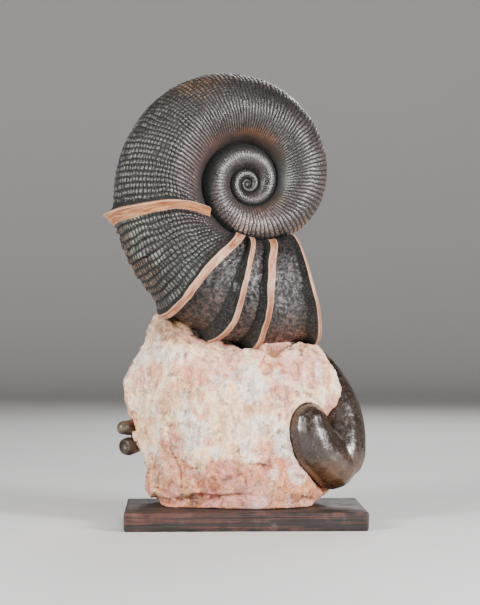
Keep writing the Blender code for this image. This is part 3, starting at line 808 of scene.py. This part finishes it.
def shell_part(name, low, high, offsets, sides, material):
    """One length of the shell as a closed tube, with its ribs, beads and collars."""
    a = ring_angles(low, high, offsets)
    turn = np.radians(np.arange(sides) * 360 / sides + 1e-4)
    turn = np.where(turn > math.pi, turn - 2 * math.pi, turn)[None, :] + 0 * a[:, None]
    count = len(a)
    flat = shell_points(a, turn, 0.0).reshape(-1, 3)

    def field(values):
        return values.reshape(count, sides)

    growth = a[:, None] + 0 * turn
    across = np.degrees(np.abs(turn))
    phase = np.interp(growth, PHASE_ANGLES, PHASES)
    bead = np.arange(sides)[None, :] * (BEADS / sides) + 0 * growth
    whole_rib = np.round(phase).astype(np.int64)
    whole_bead = np.round(bead).astype(np.int64)
    rib_gap, bead_gap = np.abs(phase - whole_rib), np.abs(bead - whole_bead)
    rib, spiral = ease(0.02, 0.24, rib_gap), ease(0.02, 0.28, bead_gap)
    rib_cell, bead_cell = np.floor(phase).astype(np.int64), np.floor(bead).astype(np.int64)
    lump = lattice(rib_cell, bead_cell, 0 * rib_cell, 3)
    height, band, riser = (np.repeat(v, sides).reshape(count, sides) for v in collar_lift(a))
    beyond = ease(*NET_END, growth)
    clear = 1 - ease(0, 2.5, np.min([np.abs(growth - c[0] - c[3] / 2) for c in COLLARS], axis=0))
    plain = np.where(riser > 0.05, band, np.maximum(band, clear))

    # Ribs and spiral lines wander a little, so their net is not a machine's.
    place = np.stack((growth / 9, across / 22, np.sign(turn) * 3), -1).reshape(-1, 3)
    wander = field(clouds(place, 1.0, 23) * 0.24 + clouds(place, 0.33, 24) * 0.10) * (1 - clear)
    ahead = wander * even(RIB_SPACING, growth) + collar_shift(a, turn)
    row_shift = lattice(rib_cell, 0 * rib_cell, 0 * rib_cell, 6) - 0.5
    swing = field(clouds(place, 0.7, 25)) * 0.40 + row_shift * 0.34
    turn = turn + swing * (1 - clear) * (2 * math.pi / BEADS) * (across < NET_TURN)

    inner, outer = (v[:, None] for v in seam_turns(a))
    half = ring_shape(a)[1][:, None]
    wall_gap = (inner - np.abs(turn)) * half
    cover_gap = (np.abs(turn) - outer) * half
    # Painted shade along the seams: darker where a whorl meets the one inside it, and where the next whorl
    # covers it.
    covered = np.where(outer > 0, mound(cover_gap, 0, SEAM_SHADE_REACH * half), 0)
    seam_shade = np.maximum(mound(wall_gap, 0, SEAM_SHADE_REACH * half), covered)
    shade = np.where(outer > 0, 1 - ease(0.35, 1.0, cover_gap / even(FLANK_SHADE, growth)), 0)

    rib_mask = 1 - 0.92 * ease(*RIB_FADE, across - 12 * ease(-40, -120, growth))
    reach = even(BEAD_REACH, growth)
    ragged = field(clouds(place, 1.5, 27)) * 9
    bead_mask = 1 - ease(reach - 14 + ragged, reach + 10 + ragged, across)
    tiles, saw = worn_tiles(growth, across, phase, bead)
    rib_depth = even(RIB_DEPTH, growth) * rib_mask * (1 - plain)
    bead_depth = even(BEAD_DEPTH, growth) * bead_mask * (1 - plain)
    dots = ease(0.22, 0.46, bead_gap) * ease(0.10, 0.36, rib_gap) * riser * (across < 150)
    rough_net = 0.5 + 1.0 * lump
    lift = (rib_depth * (rib - 1) + bead_depth * (spiral - 1)) * rough_net
    lift += bead_depth * 0.80 * (lump - 0.5) * rib * spiral
    lift += TILE_HEIGHT * tiles + TILE_TILT * saw + FINE_BEAD * dots
    size = np.clip(half / 0.05, 0.05, 1.0)
    swells, lumps = field(clouds(flat, 0.030, 11)), field(layers(flat, 0.008, 2, 13))
    lift += SWELL * size * swells + LUMP * size * lumps
    for g, gw, t, tw, deep in DENTS:
        lift -= DENT_DEPTH * deep * mound(growth, g, gw, across, t, tw)
    wrinkle = field(1 - np.abs(layers(flat, 0.0055, 2, 17)) * 2.4)
    lift += beyond * (1 - plain) * (1 - riser) * WRINKLE * (wrinkle - 0.5)
    edge_wave = 1 + 0.06 * field(clouds(flat, 0.02, 21))
    nearest = np.argmin([np.abs(a - c[0]) for c in COLLARS], axis=0)
    end_from, end_to = (np.array([e[i] for e in COLLAR_ENDS])[nearest][:, None] for i in range(2))
    end = np.clip((end_to - across) / (end_to - end_from), 0, 1)
    collar = height * np.sqrt(1 - (1 - end) ** 2) * edge_wave
    band = band * ease(0.0, 0.25, end)
    riser = riser * ease(0.0, 0.25, end)

    # Low in the grooves of the ribs and beads, which the material paints dark as shade.
    rib_share = np.minimum(even(RIB_DEPTH, growth) / DARK_GROOVE, 1.0)
    bead_share = np.minimum(even(BEAD_DEPTH, growth) / DARK_GROOVE, 1.0)
    relief = 1 + rib_mask * (1 - plain) * (rib - 1) * rib_share
    relief += bead_mask * (1 - plain) * (spiral - 1) * bead_share
    # In the collars' recesses the relief is lowered as painted shade, with paler dots on the beads.
    riser_relief = 0.45 - 0.60 * riser + 0.55 * dots
    relief = np.where(riser > 0.05, riser_relief, relief)
    wall = (1 - rib_mask) * (1 - beyond) * (half > WALL_FROM)
    # Lowered as painted shade on the shadowed covered flanks and in the seams, and also on the umbilical
    # wall.
    relief = relief * (1 - 0.75 * shade) * (1 - 0.8 * seam_shade) * (1 - WALL_DARKER * wall)
    wrinkled = beyond * (1 - band) * (riser < 0.05) > 0.5
    relief = np.where(wrinkled, relief * (0.55 + 0.45 * ease(0.0, 0.7, wrinkle)), relief)

    tint = np.broadcast_to(linear(SHELL_GREY), (count, sides, 3)).copy()
    for g, gw, t, tw, colour, share in SHELL_PATCHES:
        weight = mound(growth, g, gw, across, t, tw) * share
        weight = np.clip(weight * (1 + 0.5 * field(clouds(flat, 0.018, 29))), 0, 1)
        tint = mix(tint, linear(colour), weight)
    tint = mix(tint, linear(TILE_COLOUR), tiles * 0.7)
    netted = bead_mask * (1 - beyond)
    tint = tint * (0.55 + 0.95 * lump * netted + 0.45 * (1 - netted))[..., None]
    tint = tint * (1 - INNER_DARKER * ease(*INNER_GROWTH, growth))[..., None]
    # Painted shade: the collars' recesses, the seams and the shadowed covered flanks are darkened.
    tint = tint * ((1 - 0.95 * riser) * (1 - 0.80 * seam_shade) * (1 - 0.72 * shade))[..., None]
    seam_line = mound(wall_gap, *SEAM_LINE)
    seam_line = seam_line * between(SEAM_GROWTH, growth)
    tint = mix(tint, linear(SEAM_COLOUR), 0.8 * seam_line)
    relief = np.maximum(relief, 0.9 * seam_line)
    first = growth < (COLLARS[0][0] + COLLARS[1][0]) / 2
    edge = np.where(first[..., None], linear(EDGE_FIRST), linear(EDGE_OTHERS))
    amber = ease(*AMBER_TURNS, across) * ease(-0.7, 0.3, field(clouds(flat, 0.030, 35)))
    amber = amber * (growth > AMBER_FROM)
    edge = mix(edge, linear(EDGE_AMBER), 0.85 * amber)
    rim = np.zeros_like(growth)
    for c_edge, _, _, c_flat, c_fall in COLLARS:
        stop = c_edge + c_flat + (c_fall * FIRST_EDGE_FALL if c_edge == COLLARS[0][0] else 0)
        rim = np.maximum(rim, mound(growth, c_edge, 0.35))
        rim = np.maximum(rim, 0.6 * mound(growth, stop, 0.30))
    points = shell_points(a, turn, lift, collar, ahead).reshape(-1, 3)
    along = np.stack((growth * 0.016, np.sign(turn) * across * 0.0006, 0 * growth), -1)
    values = {
        "tint": tint.reshape(-1, 3),
        "edge": edge.reshape(-1, 3),
        "streak": along.reshape(-1, 3),
        "relief": np.clip(relief, 0, 1).ravel(),
        "band": band.ravel(),
        "rim": rim.ravel(),
        "mottle": (beyond * (1 - band) * (1 - riser)).ravel(),
        "recess": (riser * (1 - band)).ravel(),
    }
    if high == APERTURE:
        points, values = with_mouth(points, values, sides)
        count += len(MOUTH_ROWS)
    ends = np.array([points[:sides].mean(0), points[-sides:].mean(0)])
    for key, v in values.items():
        values[key] = np.concatenate((v, v[:1], v[-1:]))
    turned = np.array(COIL_TURNS.to_matrix())
    points = np.concatenate((points, ends)) @ turned.T + np.array(COIL_CENTRE)
    obj = make_mesh(name, points, ring_faces(count, sides), values)
    obj.data.materials.append(material)
    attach(obj, "root")
    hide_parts("ammonite_shell")
    return obj


def build_shell():
    material = shell_material()
    fine = (0.0, 0.14, 0.32, 0.5, 0.68, 0.86)
    shell_part("shell_inner_whorls", COIL_START, -62.0, (0.0, 0.25, 0.5, 0.75), SIDES_INNER, material)
    shell_part("shell_last_whorl_right", -66.0, 92.0, fine, SIDES_OUTER, material)
    shell_part("shell_last_whorl_left", 92.0, 190.0, fine, SIDES_OUTER, material)
    shell_part("shell_body_chamber", 190.0, APERTURE, fine, SIDES_OUTER, material)


# Section: rock, small fossils and plinth.


def dress(obj, node, material):
    obj.data.materials.clear()
    obj.data.materials.append(material)
    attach(obj, "root")
    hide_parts(node)


# Patches of the block's colour as the front is seen: X and reach, Z and reach, colour, share.
STONE_BASE = (255, 212, 174)
BLOCK_PATCHES = (
    (-0.060, 0.110, 0.048, 0.052, (208, 136, 102), 1.0),
    (0.055, 0.070, 0.052, 0.048, (204, 130, 94), 1.0),
    (0.000, 0.050, 0.042, 0.026, (212, 150, 134), 0.8),
    (0.022, 0.034, 0.136, 0.018, (230, 222, 214), 0.8),
    (0.050, 0.022, 0.112, 0.020, (226, 220, 214), 0.8),
    (0.075, 0.018, 0.085, 0.030, (226, 214, 200), 0.9),
    (-0.125, 0.034, 0.205, 0.034, (240, 220, 192), 0.8),
    (-0.133, 0.024, 0.130, 0.036, (236, 200, 160), 0.9),
    (-0.070, 0.040, 0.155, 0.026, (242, 220, 192), 0.8),
    (-0.075, 0.026, 0.112, 0.014, (232, 228, 222), 0.8),
    (0.066, 0.046, 0.204, 0.034, (228, 170, 152), 0.9),
    (0.116, 0.022, 0.166, 0.026, (246, 216, 184), 1.0),
    (0.020, 0.026, 0.160, 0.012, (222, 156, 132), 0.6),
    (0.050, 0.040, 0.182, 0.016, (226, 160, 140), 0.8),
    (-0.010, 0.024, 0.236, 0.018, (228, 176, 158), 0.8),
    (0.010, 0.022, 0.190, 0.030, (230, 222, 214), 0.8),
    (-0.092, 0.022, 0.172, 0.020, (226, 176, 134), 0.7),
    (-0.050, 0.036, 0.205, 0.022, (218, 158, 138), 0.8),
    (-0.112, 0.030, 0.262, 0.022, (178, 146, 116), 0.9),
    (-0.066, 0.036, 0.252, 0.014, (190, 150, 118), 0.8),
    # A dark brown patch under the ledge at the front foot: painted shadow.
    (-0.076, 0.034, 0.038, 0.008, (104, 68, 48), 0.95),
    (-0.112, 0.012, 0.090, 0.008, (110, 74, 52), 0.8),
    (0.040, 0.016, 0.232, 0.010, (168, 112, 62), 0.8),
)
# Spots all over the block: colour, size, level of noise above which they show, share, and seed.
STONE_SPOTS = (
    ((246, 222, 192), 0.034, 0.24, 0.60, 201),
    ((220, 140, 106), 0.030, 0.28, 0.70, 205),
    ((230, 224, 218), 0.020, 0.46, 0.60, 209),
    ((222, 160, 90), 0.016, 0.52, 0.45, 213),
    ((140, 110, 92), 0.009, 0.66, 0.55, 217),
    ((214, 140, 134), 0.024, 0.40, 0.62, 221),
)
# The block's relief: its facets, how much deeper they are at its sides, its chips, lumps, grit and pits,
# and how far the whole surface is drawn in for them.
FACETS = 0.0044
SIDE_FACETS = 0.0018
CHIPS = 0.0014
STONE_LUMPS = 0.0016
STONE_GRIT = 0.0006
PITS = 0.0016
DRAWN_IN = 0.0010
# The smooth tongue of stone beside the hook: X and reach, Z and reach.
TONGUE = (0.122, 0.022, 0.172, 0.040)
# How far the stone is thickened where it holds the shell, so that no light shows between them.
CRADLE_FILL = 0.0032
# The undercut at the block's front foot: its depth, and its heights.
LEDGE_DEPTH = 0.0075
LEDGE_HEIGHTS = (0.0270, 0.0330, 0.0400, 0.0430)
LEDGE_WANDER = 0.006
# How much fainter the pale spots are in the block's lower, redder part.
LOW_SPOTS_FAINTER = 0.6
# The step in the block's lower left side: how far it stands out, and its heights.
STEP_OUT = 0.0040
STEP_HEIGHTS = (0.026, 0.040, 0.062, 0.080)


def near_node(points, node, inside, outside):
    """1 at points within one distance of a solid, 0 beyond another."""
    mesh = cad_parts[node].data
    faces = [tuple(face.vertices) for face in mesh.polygons]
    tree = BVHTree.FromPolygons(vectors(mesh.vertices, "co").tolist(), faces)
    return 1 - ease(inside, outside, np.array([tree.find_nearest(point)[3] for point in points.tolist()]))


def build_block():
    obj, points, normals = remeshed("matrix_block", "limestone_block", 0.0019, 8)
    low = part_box("matrix_block")[0].z
    height = points[:, 2]
    foot = ease(0.0, 0.010, height - low)
    side = 1 - np.abs(normals[:, 1]) ** 2
    tall = points * np.array((1.0, 1.0, 0.6))
    broken = chips(tall, 0.026, 31) * (FACETS + SIDE_FACETS * side)
    broken += chips(tall, 0.011, 41) * CHIPS
    lumps = clouds(points, 0.045, 51) * STONE_LUMPS + layers(points, 0.008, 2, 55) * STONE_GRIT
    pits = ease(0.45, 0.75, clouds(points, 0.0075, 61)) * ease(0.0, 0.5, clouds(points, 0.035, 65))
    smooth_tongue = mound(points[:, 0], *TONGUE[:2], height, *TONGUE[2:])
    beside = near_node(points, "hook_fossil", 0.003, 0.010)
    under = near_node(points, "ammonite_shell", 0.0015, 0.0060)
    calm = (1 - 0.8 * smooth_tongue) * (1 - 0.85 * beside)
    move = ((broken + lumps - pits * PITS) * calm - DRAWN_IN) * (1 - under) + CRADLE_FILL * under
    points = points + normals * (move * (0.15 + 0.85 * foot))[:, None]
    uneven = height + LEDGE_WANDER * clouds(points * np.array((1.0, 1.0, 0.0)), 0.034, 69)
    ledge = between(LEDGE_HEIGHTS, uneven)
    ragged_foot = ease(-0.5, 0.4, clouds(points, 0.026, 67) - 3.0 * points[:, 0] - 0.25)
    points[:, 1] += LEDGE_DEPTH * ledge * ragged_foot * ease(-0.2, -0.8, normals[:, 1])
    step = between(STEP_HEIGHTS, height)
    points[:, 0] -= STEP_OUT * step * ease(-0.095, -0.118, points[:, 0])
    points[:, 2] = np.maximum(points[:, 2], low)
    set_points(obj.data, points)
    ragged = clouds(points, 0.022, 141) * 0.24 + clouds(points, 0.006, 143) * 0.12
    tint = np.broadcast_to(linear(STONE_BASE), points.shape).copy()
    for x, xw, z, zw, colour, share in BLOCK_PATCHES:
        weight = mound(points[:, 0], x, xw, points[:, 2], z, zw)
        tint = mix(tint, linear(colour), ease(0.30, 0.62, weight + ragged) * share)
    for colour, size, level, share, seed in STONE_SPOTS:
        spot = clouds(tall, size, seed) + 0.45 * clouds(points, size / 3.5, seed + 1)
        share = share * (1 - LOW_SPOTS_FAINTER * ease(0.094, 0.062, height) * (min(colour) > 180))
        tint = mix(tint, linear(colour), ease(level, level + 0.22, spot) * share)
    set_values(obj.data, "tint", tint)
    set_values(obj.data, "pit", np.clip(pits, 0, 1))
    dress(obj, "matrix_block", stone_material())


def build_hook():
    obj, points, normals = remeshed("hook_fossil", "hooked_fossil", 0.0016, 26)
    move = clouds(points, 0.028, 71) * 0.0007 + layers(points, 0.008, 2, 75) * 0.00025
    points = points + normals * (move + 0.0004)[:, None]
    set_points(obj.data, points)
    height = points[:, 2] + 0.008 * clouds(points, 0.02, 81)
    tint = mix(linear((84, 56, 32)), linear((50, 38, 32)), ease(0.066, 0.105, height))
    tint = mix(tint, linear((40, 30, 25)), ease(0.140, 0.190, height))
    set_values(obj.data, "tint", tint)
    dress(obj, "hook_fossil", fossil_material("brown_fossil", 0.20))


def build_small():
    obj, points, normals = remeshed("small_ammonite", "small_bent_ammonite", 0.0008, 4)
    move = clouds(points, 0.009, 91) * 0.0006 + layers(points, 0.003, 2, 95) * 0.0002
    points = points + normals * move[:, None]
    set_points(obj.data, points)
    tint = mix(linear((62, 48, 34)), linear((104, 84, 64)), ease(0.2, 0.8, clouds(points, 0.008, 97)))
    set_values(obj.data, "tint", tint)
    dress(obj, "small_ammonite", fossil_material("small_fossil", 0.40))


def build_plinth():
    obj, points, normals = remeshed("plinth", "wooden_plinth", 0.0024, 1)
    low, high = (np.array(c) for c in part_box("plinth"))
    inside = np.sort(np.minimum(points - low, high - points), axis=1)
    wear = 1 - ease(0.0012, 0.0055, inside[:, 1] + 0.0015 * clouds(points, 0.02, 101))
    streaks = clouds(points * np.array((0.08, 1.0, 1.0)), 0.004, 105)
    move = -0.0002 * ease(0.1, 0.9, streaks) - 0.0004 * wear * ease(-0.2, 0.8, clouds(points, 0.012, 107))
    points = points + normals * move[:, None]
    points = np.clip(points, low, high)
    set_points(obj.data, points)
    set_values(obj.data, "edge_wear", wear)
    dress(obj, "plinth", board_material())


# Section: stage, light and camera.

# The photograph's view: its eye, its focal length in pixels, and the pixel that +Y runs to.
EYE = Vector((-0.088, -2.390, 0.291))
FOCAL_PIXELS = 1770
IMAGE = (480, 605)
LEVEL_PIXEL = (179, 308)
FLOOR_REACH = 3.6
FLOOR_BEND = 1.4
WALL_TOP = 2.6


def build_stage():
    """A pale floor that curves up into a wall all round, far outside the camera's circle."""
    profile = [(FLOOR_REACH * k / 6, 0.0) for k in range(7)]
    for k in range(1, 13):
        turn = math.radians(90 * k / 12)
        profile.append((FLOOR_REACH + FLOOR_BEND * math.sin(turn), FLOOR_BEND * (1 - math.cos(turn))))
    profile.append((FLOOR_REACH + FLOOR_BEND, WALL_TOP))
    sides = 96
    points = [(0.0, 0.0, 0.0)]
    for radius, height in profile[1:]:
        for j in range(sides):
            turn = 2 * math.pi * j / sides
            points.append((radius * math.cos(turn), radius * math.sin(turn), height))
    faces = [(0, 1 + j, 1 + (j + 1) % sides) for j in range(sides)]
    for i in range(len(profile) - 2):
        for j in range(sides):
            a, b = 1 + i * sides + j, 1 + i * sides + (j + 1) % sides
            faces.append((a, a + sides, b + sides, b))
    mesh = bpy.data.meshes.new("floor")
    mesh.from_pydata(points, [], faces)
    mesh.shade_smooth()
    floor = bpy.data.objects.new("floor", mesh)
    bpy.context.scene.collection.objects.link(floor)
    n = Nodes("floor")
    mesh.materials.append(n.finish(Base_Color=(0.62, 0.61, 0.60), Roughness=0.9))
    world = bpy.data.worlds.new("studio")
    bpy.context.scene.world = world
    world.use_nodes = True
    background = world.node_tree.nodes["Background"]
    background.inputs["Color"].default_value = (0.80, 0.82, 0.85, 1)
    background.inputs["Strength"].default_value = 0.06
    aim = Vector((0.0, 0.0, 0.32))
    for name, place, power, size in (
        ("left_softbox", (-1.7, -1.5, 1.0), 90, 0.80),
        ("right_softbox", (1.6, -1.3, 0.8), 98, 0.65),
        ("top_softbox", (0.0, -0.9, 2.2), 10, 0.9),
        ("back_softbox", (0.5, 2.0, 1.6), 36, 1.1),
    ):
        lamp = bpy.data.lights.new(name, "AREA")
        lamp.energy = power
        lamp.size = size
        obj = bpy.data.objects.new(name, lamp)
        obj.location = place
        obj.rotation_euler = (aim - Vector(place)).to_track_quat("-Z", "Y").to_euler()
        bpy.context.scene.collection.objects.link(obj)


def build_camera():
    data = bpy.data.cameras.new("camera")
    data.sensor_fit = "HORIZONTAL"
    data.sensor_width = 36.0
    data.lens = data.sensor_width * FOCAL_PIXELS / IMAGE[0]
    camera = bpy.data.objects.new("camera", data)
    right, up = IMAGE[0] / 2 - LEVEL_PIXEL[0], LEVEL_PIXEL[1] - IMAGE[1] / 2
    way = Vector((right, FOCAL_PIXELS, up))
    camera.location = EYE
    camera.rotation_euler = way.to_track_quat("-Z", "Y").to_euler()
    bpy.context.scene.collection.objects.link(camera)
    bpy.context.scene.camera = camera


build_shell()
build_block()
build_hook()
build_small()
build_plinth()
build_stage()
build_camera()
